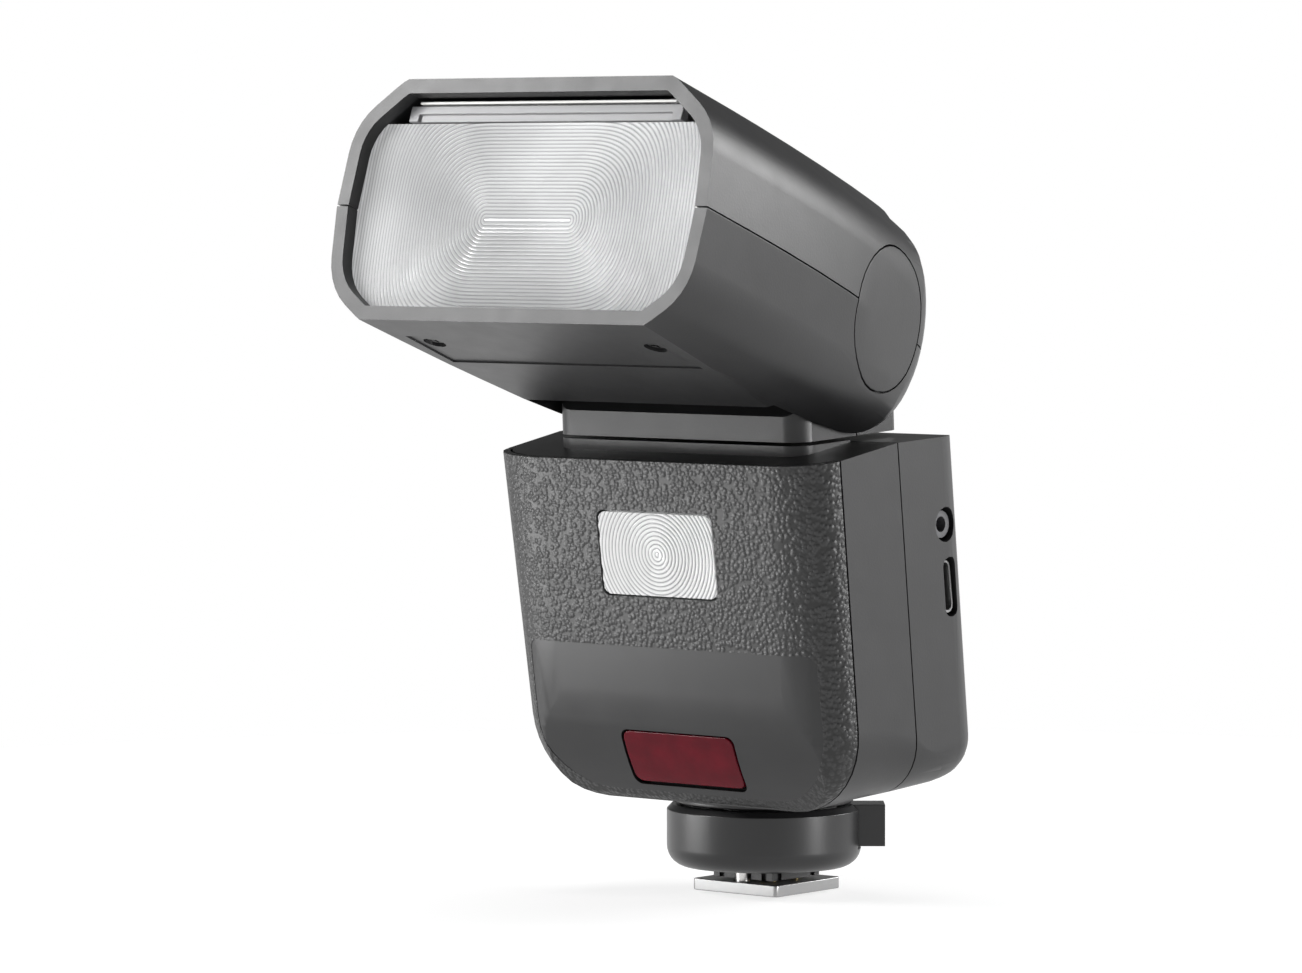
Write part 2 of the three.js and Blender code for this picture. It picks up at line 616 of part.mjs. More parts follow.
function makeNeck() {
  const bore = solid(rod(SHAFT_RADIUS + FIT, [-40, ...hubAt], [40, ...hubAt], 20));
  const hole = solid(rod(SPIGOT_RADIUS + FIT, [0, 0, -2], [0, 0, 4], 24));
  const casing = neckForm(0).subtract(neckForm(2)).subtract(bore).subtract(hole);
  const seam = hubAt[0];
  const front = solid(box([-BIG, BIG], [-BIG, seam - FIT / 2], [-BIG, BIG]));
  const rear = solid(box([-BIG, BIG], [seam + FIT / 2, BIG], [-BIG, BIG]));
  addMesh('neck_front_shell', casing.intersect(front), shellFinish, neck);
  addMesh('neck_rear_shell', casing.intersect(rear), shellFinish, neck);

  const tube = ring(SPIGOT_RADIUS, 6.5, -7.2, 3.6, 28).add(ring(11, 6.5, 2.6, 4, 28));
  addMesh('swivel_tube', tube, innerFinish, neck);
  addMesh('swivel_retainer', ring(11.4, SPIGOT_RADIUS + FIT, -7, -5.9, 28), steelFinish, neck);
  addMesh('swivel_detent_ring', ring(11.4, SPIGOT_RADIUS + FIT, -5.6, -4.7, 28), steelFinish, neck);
}

// ---------------------------------------------------------------- head
// The head's outer form drawn in by `margin`, with the face set back by `setback`.
function headForm(margin, setback = 0) {
  const right = HEAD_OUTLINE;
  const left = right.map(([x, h]) => [-x, h]).reverse();
  const octagon = [...left, ...right].reverse();
  const radii = octagon.map(([, h]) => (Math.abs(h) < 5 ? 0 : HEAD_CORNER - margin));
  const outline = rounded(inset(octagon, margin), radii, 5);
  const geometry = alongY(outline, -66, 24, { steps: 9 });
  const place = geometry.attributes.position;
  for (let i = 0; i < place.count; i += 1) {
    const run = Math.max(place.getY(i) / -FACE_V + 1, 0);
    place.setX(i, place.getX(i) * (1 - HEAD_NARROWING * run ** HEAD_CURVE));
  }
  const drum = DRUM_RADIUS - margin;
  const crown = HEAD_CROWN - margin;
  const side = [
    [FACE_TOP_V + setback, HEAD_TOP - margin],
    [FACE_LOW_V + setback, HEAD_LOW + margin],
    [BELLY[0], BELLY[1] + margin],
    ...arc([0, 0], drum, 278, 405, 16),
    [6, crown - 2.2],
    [-1, crown],
  ];
  const across = solid(alongX(side, -BIG, BIG));
  return solid(geometry).intersect(across).intersect(headPlan(margin)).intersect(headRear(side, margin));
}

// The head seen from above, as far back as the front of the pivot caps.
function headPlan(margin) {
  const wide = CHEEK_AT + CHEEK_TOE * CAP_RADIUS - margin;
  const slope = (PLAN_HALF - wide) / (-PLAN_FRONT - CAP_RADIUS);
  const rear = wide - slope * (CAP_RADIUS + PLAN_REAR);
  const plan = [[-PLAN_HALF, PLAN_FRONT], [PLAN_HALF, PLAN_FRONT], [rear, PLAN_REAR], [-rear, PLAN_REAR]];
  return solid(alongZ(plan, -BIG, BIG));
}

// Behind that, the side outline as a toed-in slab with rounded edges.
function headRear(side, margin) {
  const round = REAR_ROUND - margin;
  const flat = CHEEK_AT - REAR_ROUND;
  const geometry = alongX(side, -flat, flat, {
    bevelEnabled: true, bevelThickness: round, bevelSize: round, bevelOffset: -round, bevelSegments: 6,
  });
  const place = geometry.attributes.position;
  for (let i = 0; i < place.count; i += 1) {
    place.setX(i, place.getX(i) * (1 - (CHEEK_TOE / CHEEK_AT) * place.getY(i)));
  }
  return solid(geometry).add(solid(box([-BIG, BIG], [-BIG, -CAP_RADIUS], [-BIG, BIG])));
}

// A slice of the head between two planes parallel to the raked face.
function faceSlice(near, far) {
  const slope = (FACE_TOP_V - FACE_LOW_V) / (HEAD_TOP - HEAD_LOW);
  const at = (h) => FACE_LOW_V + slope * (h - HEAD_LOW);
  return solid(alongX([
    [at(-40) + near, -40], [at(-40) + far, -40], [at(40) + far, 40], [at(40) + near, 40],
  ], -BIG, BIG));
}

function neckRecess() {
  const half = CHEEK_INNER + 0.1;
  const hub = solid(rod(HUB_RADIUS + 0.8, [-half, 0, 0], [half, 0, 0], 36));
  const swept = [[0, 0], [-16.4, -13.5], [-16.4, -40], [40, -40], [40, 40], [7.05, 40]];
  const sweep = solid(alongX(swept, -half, half));
  return hub.add(sweep);
}

const screwAt = [23.8, -44.4];
const screwRod = { x: 26, h: -10.5 };

function makeHeadShells() {
  const behindFace = faceSlice(LENS_DEPTH - FIT, 90);
  const chamber = headForm(HEAD_WALL).intersect(behindFace)
    .intersect(solid(box([-BIG, BIG], [-BIG, CHAMBER_REAR], [-BIG, BIG])));
  const window = headForm(FRAME_WIDTH, -6).intersect(faceSlice(-8, LENS_DEPTH));
  const cardPocket = solid(box([-28, 28], [-30, -1.5], [17.4, 18.8]));
  let casing = headForm(0).subtract(chamber).subtract(window).subtract(cardPocket);
  casing = casing.subtract(neckRecess());
  casing = casing.subtract(solid(rod(SHAFT_RADIUS + FIT, [-33.4, 0, 0], [33.4, 0, 0], 20)));
  for (const side of [-1, 1]) {
    const pocket = rod(CAP_RADIUS + FIT, [side * (CAP_INNER - FIT), 0, 0], [side * BIG, 0, 0], 36);
    casing = casing.subtract(solid(pocket));
    const [x, v] = [side * screwAt[0], screwAt[1]];
    casing = casing.subtract(solid(rod(SCREW_RADIUS + FIT, [x, v, -30], [x, v, -18], 16)));
  }
  const upper = solid(box([-BIG, BIG], [-BIG, BIG], [PARTING + FIT / 2, BIG]));
  const lower = solid(box([-BIG, BIG], [-BIG, BIG], [-BIG, PARTING - FIT / 2]));
  addMesh('head_upper_shell', casing.intersect(upper), shellFinish, head);
  addMesh('head_lower_shell', casing.intersect(lower), shellFinish, head);
}

function makeHeadFittings() {
  const belowCards = solid(box([-BIG, BIG], [-BIG, BIG], [-BIG, LENS_TOP]));
  const lens = headForm(HEAD_WALL + FIT).intersect(faceSlice(LENS_DEPTH, LENS_DEPTH + LENS_THICK));
  addMesh('fresnel_lens', lens.intersect(belowCards), lensFinish, head);
  ['left', 'right'].forEach((name, i) => {
    const side = i === 0 ? -1 : 1;
    const cap = solid(rod(CAP_RADIUS, [side * CAP_INNER, 0, 0], [side * BIG, 0, 0], 36));
    addMesh(`pivot_cap_${name}`, cap.intersect(headForm(0)), shellFinish, head);
    const [x, v] = [side * screwAt[0], screwAt[1]];
    const screw = rod(SCREW_RADIUS, [x, v, HEAD_LOW + 0.4], [x, v, HEAD_LOW + 3.6], 14);
    addMesh(`head_screw_${name}`, solid(screw), steelFinish, head);
  });
  addMesh('tilt_shaft', solid(rod(SHAFT_RADIUS, [-30.9, 0, 0], [30.9, 0, 0], 20)), steelFinish, head);
  const disc = solid(rod(10, [19.5, 0, 0], [22, 0, 0], 24));
  addMesh('tilt_detent_disc', disc.subtract(solid(rod(4.3, [15, 0, 0], [30, 0, 0], 20))), steelFinish, head);
  addMesh('panel_tray', solid(box([-30, 30], [-52.6, -20.3], [13.6, 14.2])), innerFinish, head);
  addMesh('trigger_board', solid(box([-18, 18], [-21.5, -20], [-9, 9])), boardFinish, head);
  const { x, h } = screwRod;
  addMesh('zoom_motor', solid(rod(4.3, [x, -31, h], [x, -20, h], 18)), steelFinish, head);
  addMesh('lead_screw', solid(rod(1.2, [x, -51, h], [x, -31.4, h], 12)), steelFinish, head);
  addMesh('guide_rod', solid(rod(1, [-x, -51, h], [-x, -19.5, h], 12)), steelFinish, head);
}

function makeZoomLamp() {
  const bowl = (margin) => [
    [-41 - 3 * margin, 10.5 - margin], [-41 - 3 * margin, -10.5 + margin],
    [-31, -9 + margin], [-25.5 - margin, -4.5 + margin],
    [-25.5 - margin, 4.5 - margin], [-31, 9 - margin],
  ];
  let reflector = solid(alongX(bowl(0), -20, 20)).subtract(solid(alongX(bowl(1), -19, 19)));
  const { x, h } = screwRod;
  for (const side of [-1, 1]) {
    const ear = box(around(side * 24.25, 4.75), [-40, -35], [h - 2.6, h + 4]);
    reflector = reflector.add(solid(ear));
  }
  reflector = reflector.subtract(solid(rod(1.5, [x, -60, h], [x, -10, h], 14)));
  reflector = reflector.subtract(solid(rod(1.3, [-x, -60, h], [-x, -10, h], 14)));
  reflector = reflector.subtract(solid(rod(2.5, [-30, -30, 0], [30, -30, 0], 16)));
  addMesh('zoom_reflector', reflector, mirrorFinish, head);
  addMesh('flash_tube', solid(rod(2.1, [-21.5, -30, 0], [21.5, -30, 0], 16)), lensFinish, head);
}

function makeCards() {
  const cardFront = FACE_TOP_V + LENS_DEPTH + 0.4;
  addMesh('bounce_card', solid(box([-27.6, 27.6], [cardFront, -3.5], [17.9, 18.35])), whiteFinish, head);
  const grip = solid(box([-29.3, 29.3], [cardFront, cardFront + 1.6], [LENS_TOP + FIT, 17.55]));
  const dip = solid(box([-27.2, 27.2], [cardFront - 1, cardFront + 0.5], [LENS_TOP - 1, 16.1]));
  const panel = solid(box([-28, 28], [cardFront + 1, -21], [15.2, 16.2])).add(grip.subtract(dip));
  addMesh('wide_panel', panel, lensFinish, head);
}

makeShells();
makeFrontTrim();
makeBodyInsides();
makeBattery();
makeControls();
makeFoot();
makeContacts();
makeNeck();
makeHeadShells();
makeHeadFittings();
makeZoomLamp();
makeCards();

export default scene;
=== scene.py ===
import json
import math

import bmesh
import bpy
from mathutils import Matrix, Vector, geometry


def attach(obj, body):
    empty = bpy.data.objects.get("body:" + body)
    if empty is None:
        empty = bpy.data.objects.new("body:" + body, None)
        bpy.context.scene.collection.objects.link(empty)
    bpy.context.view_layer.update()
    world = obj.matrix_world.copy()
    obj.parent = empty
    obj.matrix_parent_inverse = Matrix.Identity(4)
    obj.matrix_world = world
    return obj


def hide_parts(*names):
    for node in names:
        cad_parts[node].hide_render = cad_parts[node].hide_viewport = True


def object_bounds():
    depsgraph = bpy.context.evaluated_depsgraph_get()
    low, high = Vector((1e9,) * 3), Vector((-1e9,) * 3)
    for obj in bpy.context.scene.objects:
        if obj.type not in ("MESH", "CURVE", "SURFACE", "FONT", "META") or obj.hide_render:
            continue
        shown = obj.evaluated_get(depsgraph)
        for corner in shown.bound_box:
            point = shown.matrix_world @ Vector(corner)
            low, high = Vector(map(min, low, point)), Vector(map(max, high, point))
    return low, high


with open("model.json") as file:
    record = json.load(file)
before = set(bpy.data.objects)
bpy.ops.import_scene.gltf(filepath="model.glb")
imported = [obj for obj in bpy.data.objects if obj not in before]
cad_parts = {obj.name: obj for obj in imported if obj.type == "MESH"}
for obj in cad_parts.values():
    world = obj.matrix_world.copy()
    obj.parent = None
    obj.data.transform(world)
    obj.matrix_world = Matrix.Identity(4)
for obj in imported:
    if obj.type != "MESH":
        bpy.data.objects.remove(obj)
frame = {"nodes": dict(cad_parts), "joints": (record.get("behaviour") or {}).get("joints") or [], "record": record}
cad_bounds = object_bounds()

MM = 0.001
JOINTS = {joint["name"]: joint for joint in frame["joints"]}
SLOT_OF = {part["node"]: part["material_slot"] for part in frame["record"]["subparts"]}
BODIES = frame["record"]["behaviour"]["bodies"]
BODY_OF = {node: body for body, nodes in BODIES.items() for node in nodes}

# ------------------------------------------------------------------ frames of the leaning parts
X = Vector((1, 0, 0))
BODY_BACK = Vector(JOINTS["dial_turn"]["axis"])
BODY_UP = X.cross(BODY_BACK)
HEAD_AHEAD = Vector(JOINTS["zoom_slide"]["axis"])
HEAD_UP = HEAD_AHEAD.cross(X)
PIVOT = Vector(JOINTS["head_tilt"]["pos_m"])


def axes(origin, back, up):
    """A matrix whose columns are the width, back and up directions at an origin."""
    turn = Matrix((X, back, up)).transposed().to_4x4()
    return Matrix.Translation(origin) @ turn


BODY_FRAME = axes(Vector((0, 0, 0)), BODY_BACK, BODY_UP)
HEAD_FRAME = axes(PIVOT, -HEAD_AHEAD, HEAD_UP)


def points_in(mesh, turn):
    """A mesh's vertices, measured in one of the leaning frames."""
    inverse = turn.inverted()
    return [inverse @ vertex.co for vertex in mesh.vertices]


def extent(node, turn):
    """Lowest and highest corner of a CAD node in one of the leaning frames."""
    points = points_in(frame["nodes"][node].data, turn)
    low = Vector([min(point[i] for point in points) for i in range(3)])
    high = Vector([max(point[i] for point in points) for i in range(3)])
    return low, high


# ------------------------------------------------------------------ node materials
class Nodes:
    """A material's node tree with short ways to add and link nodes."""

    def __init__(self, name):
        self.material = bpy.data.materials.new(name)
        self.material.use_nodes = True
        self.tree = self.material.node_tree
        self.shader = self.tree.nodes["Principled BSDF"]
        self.place = self.add("ShaderNodeTexCoord").outputs["Object"]

    def add(self, kind, inputs=None, **values):
        """Adds a node and sets some of its inputs and settings."""
        node = self.tree.nodes.new(kind)
        for key, value in values.items():
            setattr(node, key, value)
        for key, value in (inputs or {}).items():
            node.inputs[key].default_value = value
        return node

    def link(self, output, target):
        self.tree.links.new(output, target)

    def feed(self, socket, output):
        """Links an output to one of the shader's inputs."""
        self.link(output, self.shader.inputs[socket])

    def fix(self, socket, value):
        """Gives one of the shader's inputs a single value."""
        self.shader.inputs[socket].default_value = value

    def noise(self, scale, detail=3.0, source=None):
        node = self.add("ShaderNodeTexNoise", {"Scale": scale, "Detail": detail})
        self.link(source or self.place, node.inputs["Vector"])
        return node.outputs["Fac"]

    def ramp(self, factor, low, high, start=0.3, end=0.7):
        node = self.add("ShaderNodeValToRGB")
        node.color_ramp.elements[0].position = start
        node.color_ramp.elements[1].position = end
        node.color_ramp.elements[0].color = (*low, 1)
        node.color_ramp.elements[1].color = (*high, 1)
        self.link(factor, node.inputs["Fac"])
        return node.outputs["Color"]

    def spread(self, factor, low, high):
        node = self.add("ShaderNodeMapRange", {"To Min": low, "To Max": high})
        self.link(factor, node.inputs["Value"])
        return node.outputs["Result"]

    def bump(self, height, depth, strength=1.0, under=None):
        node = self.add("ShaderNodeBump", {"Distance": depth, "Strength": strength})
        self.link(height, node.inputs["Height"])
        if under is not None:
            self.link(under, node.inputs["Normal"])
        return node.outputs["Normal"]


ACRYLIC_IOR = 1.49


def moulded(name, colour, roughness, grain=2600, depth=0.02, spread=0.12):
    """Injection-moulded plastic: a fine spark-eroded grain, depth mm deep, and slightly uneven gloss."""
    nodes = Nodes(name)
    light = tuple(channel * (1 + spread) for channel in colour)
    dark = tuple(channel * (1 - spread) for channel in colour)
    nodes.feed("Base Color", nodes.ramp(nodes.noise(90, 2), dark, light))
    nodes.feed("Roughness", nodes.spread(nodes.noise(220, 4), roughness - 0.05, roughness + 0.05))
    nodes.feed("Normal", nodes.bump(nodes.noise(grain, 2), depth * MM, 0.6))
    return nodes.material


def leatherette():
    """Pebbled leatherette: soft domes just under a millimetre across, parted by fine creases, with painted shade
    darkening each dome from its crown into the creases.
    """
    domes_per_metre = 1200
    dome_height = 0.13 * MM
    wander = 0.22 * MM  # how far the creases stray from a plain cell pattern
    crease_shade, crown = (0.004, 0.004, 0.004), (0.018, 0.018, 0.0185)

    nodes = Nodes("leatherette")
    warp = nodes.add("ShaderNodeTexNoise", {"Scale": 700})
    nodes.link(nodes.place, warp.inputs["Vector"])
    bent = nodes.add("ShaderNodeVectorMath", {1: (wander, wander, wander)}, operation="MULTIPLY_ADD")
    nodes.link(warp.outputs["Color"], bent.inputs[0])
    nodes.link(nodes.place, bent.inputs[2])
    cells = nodes.add(
        "ShaderNodeTexVoronoi", feature="SMOOTH_F1", inputs={"Scale": domes_per_metre, "Smoothness": 0.2}
    )
    nodes.link(bent.outputs["Vector"], cells.inputs["Vector"])
    dome = nodes.add(
        "ShaderNodeMapRange", interpolation_type="SMOOTHSTEP", inputs={"From Min": 0.75, "From Max": 0.1}
    )
    nodes.link(cells.outputs["Distance"], dome.inputs["Value"])
    height = dome.outputs["Result"]
    coarse = nodes.bump(height, dome_height)
    nodes.feed("Normal", nodes.bump(nodes.noise(5200, 3), 0.008 * MM, 0.5, coarse))
    # painted shade: the colour darkens from the crowns of the domes down into the creases
    nodes.feed("Base Color", nodes.ramp(height, crease_shade, crown, 0.0, 0.5))
    nodes.feed("Roughness", nodes.spread(nodes.noise(400, 4), 0.38, 0.46))
    return nodes.material


def metal(name, colour, roughness, brushed=900):
    """Plated or machined metal with faint tooling marks across Y."""
    nodes = Nodes(name)
    stretch = nodes.add("ShaderNodeMapping", {"Scale": (1, 12, 1)})
    nodes.link(nodes.place, stretch.inputs["Vector"])
    streak = nodes.noise(brushed, 3, stretch.outputs["Vector"])
    light = tuple(min(channel * 1.06, 1) for channel in colour)
    nodes.feed("Base Color", nodes.ramp(streak, colour, light))
    nodes.feed("Roughness", nodes.spread(streak, roughness - 0.05, roughness + 0.08))
    nodes.feed("Normal", nodes.bump(streak, 0.01 * MM, 0.4))
    nodes.fix("Metallic", 1)
    return nodes.material


def clear_acrylic(name, colour, transmission, roughness):
    """Clear moulded acrylic, a little hazy."""
    nodes = Nodes(name)
    cloudy = nodes.noise(140, 2)
    light = tuple(min(channel * 1.02, 1) for channel in colour)
    nodes.feed("Base Color", nodes.ramp(cloudy, colour, light))
    nodes.feed("Roughness", nodes.spread(cloudy, roughness, roughness + 0.05))
    nodes.fix("Transmission Weight", transmission)
    nodes.fix("IOR", ACRYLIC_IOR)
    return nodes.material


def grooved_acrylic(name, valley_shade, peak, transmission, painted_glow, uneven):
    """Acrylic painted darker along the feet of its grooves, which are stored on the mesh as an attribute, as
    painted shade.

    The painted glow stands for the lit reflector behind the lens, and uneven is how patchy this painted light is,
    in colour and glow alike.
    """
    nodes = Nodes(name)
    groove = nodes.add("ShaderNodeAttribute", attribute_name="groove")
    # painted shade: the feet of the grooves get the darker valley colour
    shade = nodes.ramp(groove.outputs["Fac"], peak, valley_shade, 0.45, 1.0)
    # painted light: random brighter and dimmer patches across the lens, in colour and glow alike
    light_patches = nodes.ramp(nodes.noise(34, 1), (1 - uneven,) * 3, (1, 1, 1), 0.35, 0.6)
    painted_light_and_shade = nodes.add("ShaderNodeVectorMath", operation="MULTIPLY")
    nodes.link(shade, painted_light_and_shade.inputs[0])
    nodes.link(light_patches, painted_light_and_shade.inputs[1])
    nodes.feed("Base Color", painted_light_and_shade.outputs["Vector"])
    nodes.feed("Emission Color", painted_light_and_shade.outputs["Vector"])
    nodes.feed("Roughness", nodes.spread(nodes.noise(260, 2), 0.1, 0.2))
    # painted glow: the lens glows though no lamp is in it, standing for the lit reflector behind
    nodes.fix("Emission Strength", painted_glow)
    nodes.fix("Transmission Weight", transmission)
    nodes.fix("IOR", ACRYLIC_IOR)
    return nodes.material


def red_acrylic():
    """Dark red filter plastic that shows a little of what is behind it."""
    nodes = Nodes("red_window")
    cloudy = nodes.noise(220, 3)
    nodes.feed("Base Color", nodes.ramp(cloudy, (0.085, 0.0, 0.006), (0.13, 0.0005, 0.009)))
    nodes.feed("Roughness", nodes.spread(cloudy, 0.12, 0.18))
    nodes.fix("Transmission Weight", 0.3)
    nodes.fix("Specular IOR Level", 0.05)
    return nodes.material


def circuit():
    """Solder mask with lighter traces."""
    nodes = Nodes("circuit_board")
    traces = nodes.add("ShaderNodeTexBrick", {
        "Scale": 350,
        "Color1": (0.01, 0.09, 0.035, 1),
        "Color2": (0.015, 0.13, 0.05, 1),
        "Mortar": (0.05, 0.22, 0.08, 1),
    })
    nodes.link(nodes.place, traces.inputs["Vector"])
    nodes.feed("Base Color", traces.outputs["Color"])
    nodes.feed("Roughness", nodes.spread(nodes.noise(300, 3), 0.3, 0.45))
    return nodes.material


def display_glass():
    """An unlit liquid-crystal panel behind glass, slightly cloudy."""
    nodes = Nodes("display_glass")
    nodes.feed("Base Color", nodes.ramp(nodes.noise(60, 2), (0.034, 0.042, 0.038), (0.042, 0.05, 0.046)))
    nodes.feed("Roughness", nodes.spread(nodes.noise(300, 2), 0.12, 0.18))
    return nodes.material


def pale_floor():
    """Matt white paper that glows a little, so that it meets the background without a line."""
    nodes = Nodes("pale_floor")
    mottle = nodes.noise(30, 3)
    nodes.feed("Base Color", nodes.ramp(mottle, (0.33, 0.33, 0.33), (0.35, 0.35, 0.35)))
    nodes.feed("Roughness", nodes.spread(mottle, 0.8, 0.9))
    nodes.fix("Specular IOR Level", 0.1)
    nodes.fix("Emission Color", (1, 1, 1, 1))
    nodes.fix("Emission Strength", 0.72)
    return nodes.material


# One material for each of the record's slots.
BLACK = (0.009, 0.009, 0.0095)
MATERIALS = {
    "shell_plastic": moulded("shell_plastic", BLACK, 0.4),
    "leatherette": leatherette(),
    "satin_plastic": moulded("satin_plastic", BLACK, 0.34, grain=3600, depth=0.01),
    "inner_plastic": moulded("inner_plastic", (0.06, 0.06, 0.064), 0.5),
    "clear_lens": clear_acrylic("clear_lens", (0.9, 0.92, 0.94), 0.75, 0.1),
    "red_window": red_acrylic(),
    "screen": moulded("screen", (0.009, 0.011, 0.013), 0.1, grain=400, depth=0.002),
    "steel": metal("steel", (0.66, 0.65, 0.64), 0.26),
    "contact_metal": metal("contact_metal", (0.86, 0.64, 0.3), 0.22),
    "circuit_board": circuit(),
    "button_rubber": moulded("button_rubber", (0.02, 0.02, 0.021), 0.62, grain=3000),
    "white_card": moulded("white_card", (0.86, 0.86, 0.84), 0.5, grain=1800, spread=0.02),
    "reflector": metal("reflector", (0.92, 0.92, 0.93), 0.08, 300),
}

# Materials for single pieces that look different from the rest of their slot.
# Both grooved lenses carry painted shade in their groove feet, patches of painted light and a painted glow.
FRESNEL = grooved_acrylic("fresnel", (0.4, 0.405, 0.41), (0.76, 0.765, 0.77), 0.5, 0.22, 0.25)
LAMP_LENS = grooved_acrylic("lamp_lens", (0.22, 0.225, 0.23), (0.76, 0.76, 0.76), 0.35, 0.26, 0.15)
FROSTED = clear_acrylic("frosted", (0.3, 0.3, 0.31), 0.4, 0.3)
# painted shade: a darker copy of the steel, for the USB socket sunk in its slot and for the foot plate
PAINTED_SHADE_STEEL = metal("painted_shade_steel", (0.3, 0.3, 0.3), 0.34)
BLACK_STEEL = metal("black_steel", (0.06, 0.06, 0.06), 0.36)


# ------------------------------------------------------------------ meshes
def linked(name, data):
    """A new object in the scene."""
    item = bpy.data.objects.new(name, data)
    bpy.context.scene.collection.objects.link(item)
    return item


def mesh_from(build, name):
    """The mesh of a bmesh, which is freed."""
    mesh = bpy.data.meshes.new(name)
    build.to_mesh(mesh)
    build.free()
    return mesh


def baked(mesh, modifiers):
    """The mesh with a list of (kind, settings) modifiers applied."""
    holder = linked("holder", mesh)
    for kind, settings in modifiers:
        modifier = holder.modifiers.new(kind, kind)
        for key, value in settings.items():
            setattr(modifier, key, value)
    graph = bpy.context.evaluated_depsgraph_get()
    result = bpy.data.meshes.new_from_object(holder.evaluated_get(graph))
    bpy.data.objects.remove(holder)
    return result


def shaded(mesh, angle=35.0):
    """Smooth shading that keeps flat faces flat and corners crisp."""
    mesh.shade_smooth()
    mesh.set_sharp_from_angle(angle=math.radians(angle))
    return baked(mesh, [("WEIGHTED_NORMAL", {"keep_sharp": True, "weight": 60})])


def clean_copy(node):
    """A bmesh of a CAD node with its flat faces joined up again."""
    build = bmesh.new()
    build.from_mesh(frame["nodes"][node].data)
    bmesh.ops.remove_doubles(build, verts=build.verts, dist=1e-6)
    bmesh.ops.dissolve_limit(
        build, angle_limit=math.radians(0.6), verts=build.verts, edges=build.edges
    )
    return build


def bevel_share(edge, seams):
    """The share of the bevel's width that an edge gets: all if it is sharp, less in a seam's plane."""
    sharp_angle = math.radians(25)
    near = 0.25 * MM
    if len(edge.link_faces) != 2 or edge.calc_face_angle(0) <= sharp_angle:
        return 0.0
    result = 1.0
    for point, normal, share in seams:
        if all(abs((vertex.co - point).dot(normal)) < near for vertex in edge.verts):
            result = min(result, share)
    return result


def softened(build, width, segments, seams):
    """Bevels the sharp edges of a bmesh, width mm wide."""
    shares = [bevel_share(edge, seams) for edge in build.edges]
    mesh = mesh_from(build, "softened")
    layer = mesh.attributes.new("bevel_weight_edge", "FLOAT", "EDGE")
    layer.data.foreach_set("value", shares)
    bevel = {
        "width": width * MM,
        "segments": segments,
        "limit_method": "WEIGHT",
        "use_clamp_overlap": True,
        "miter_outer": "MITER_ARC",
    }
    return shaded(baked(mesh, [("BEVEL", bevel)]))


def block_mesh(size, place):
    """A block of a size, stood at a place."""
    build = bmesh.new()
    bmesh.ops.create_cube(build, size=1, matrix=place @ Matrix.Diagonal((*size, 1)))
    return mesh_from(build, "block")


def turned_mesh(name, profile, spokes, knurl):
    """A ring about the back axis from a closed (radius, depth, rough) profile.

    Rough points get the knurl, a (depth in mm, number of teeth) pair.
    """
    build = bmesh.new()
    loops = []
    for i in range(spokes):
        angle = 2 * math.pi * i / spokes
        wave = knurl[0] * MM * math.cos(knurl[1] * angle)
        loop = []
        for radius, depth, rough in profile:
            far = radius + (wave if rough else 0)
            loop.append(build.verts.new((far * math.cos(angle), depth, far * math.sin(angle))))
        loops.append(loop)
    for i in range(spokes):
        here = loops[i]
        there = loops[(i + 1) % spokes]
        for k in range(len(profile)):
            m = (k + 1) % len(profile)
            build.faces.new((here[k], here[m], there[m], there[k]))
    bmesh.ops.recalc_face_normals(build, faces=build.faces)
    return mesh_from(build, name)


# ------------------------------------------------------------------ pieces
def add_piece(name, mesh, node, material=None, place=None):
    """Links a mesh as a piece that rides with a CAD node's body and stands for that node."""
    piece = linked(name, mesh)
    if place is not None:
        piece.matrix_world = place
    mesh.materials.clear()
    mesh.materials.append(material or MATERIALS[SLOT_OF[node]])
    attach(piece, BODY_OF[node])
    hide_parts(node)
    return piece


def refine(node, width, segments=3, seams=(), material=None):
    """Stands a soft-edged copy of a CAD node in its place."""
    mesh = softened(clean_copy(node), width, segments, seams)
    return add_piece(node + "_fine", mesh, node, material)


def widen(piece, turn, margin):
    """Grows a thin panel sideways by a margin in mm, so that it closes the fitting gap round it."""
    points = points_in(piece.data, turn)
    for axis in (0, 2):
        low = min(point[axis] for point in points)
        high = max(point[axis] for point in points)
        middle = (low + high) / 2
        scale = 1 + 2 * margin * MM / (high - low)
        for point in points:
            point[axis] = middle + (point[axis] - middle) * scale
    for vertex, point in zip(piece.data.vertices, points):
        vertex.co = turn @ point


def cut_away(piece, cutters):
    """Takes blocks out of a piece and shades it afresh."""
    for cutter in cutters:
        tool = linked("cutter", cutter)
        settings = {"operation": "DIFFERENCE", "solver": "EXACT", "object": tool}
        piece.data = baked(piece.data, [("BOOLEAN", settings)])
        bpy.data.objects.remove(tool)
    piece.data = shaded(piece.data)


# ------------------------------------------------------------------ grooved lenses
def outline_of(node, turn):
    """The convex outline of a CAD node, seen along its frame's back axis, as (x, up) pairs."""
    flat = [point.xz for point in points_in(frame["nodes"][node].data, turn)]
    return [flat[i] for i in geometry.convex_hull_2d(flat)]


def front_plane(node, turn):
    """Depth of a CAD node's front at height zero, and how the depth changes upwards."""
    slice_height = 0.6 * MM
    points = points_in(frame["nodes"][node].data, turn)
    low = min(point.z for point in points)
    high = max(point.z for point in points)
    foot = min(point.y for point in points if point.z < low + slice_height)
    head = min(point.y for point in points if point.z > high - slice_height)
    slope = (head - foot) / (high - low)
    return foot - slope * low, slope


def groove_point(radius, angle, core, squareness):
    """A point of a groove's contour: a circle at first, squarer further out, split by a core."""
    power = 2 / (2 + squareness * radius / (10 * MM))
    across = radius * math.copysign(abs(math.cos(angle)) ** power, math.cos(angle))
    upwards = radius * math.copysign(abs(math.sin(angle)) ** power, math.sin(angle))
    return across + math.copysign(core, math.cos(angle)), upwards


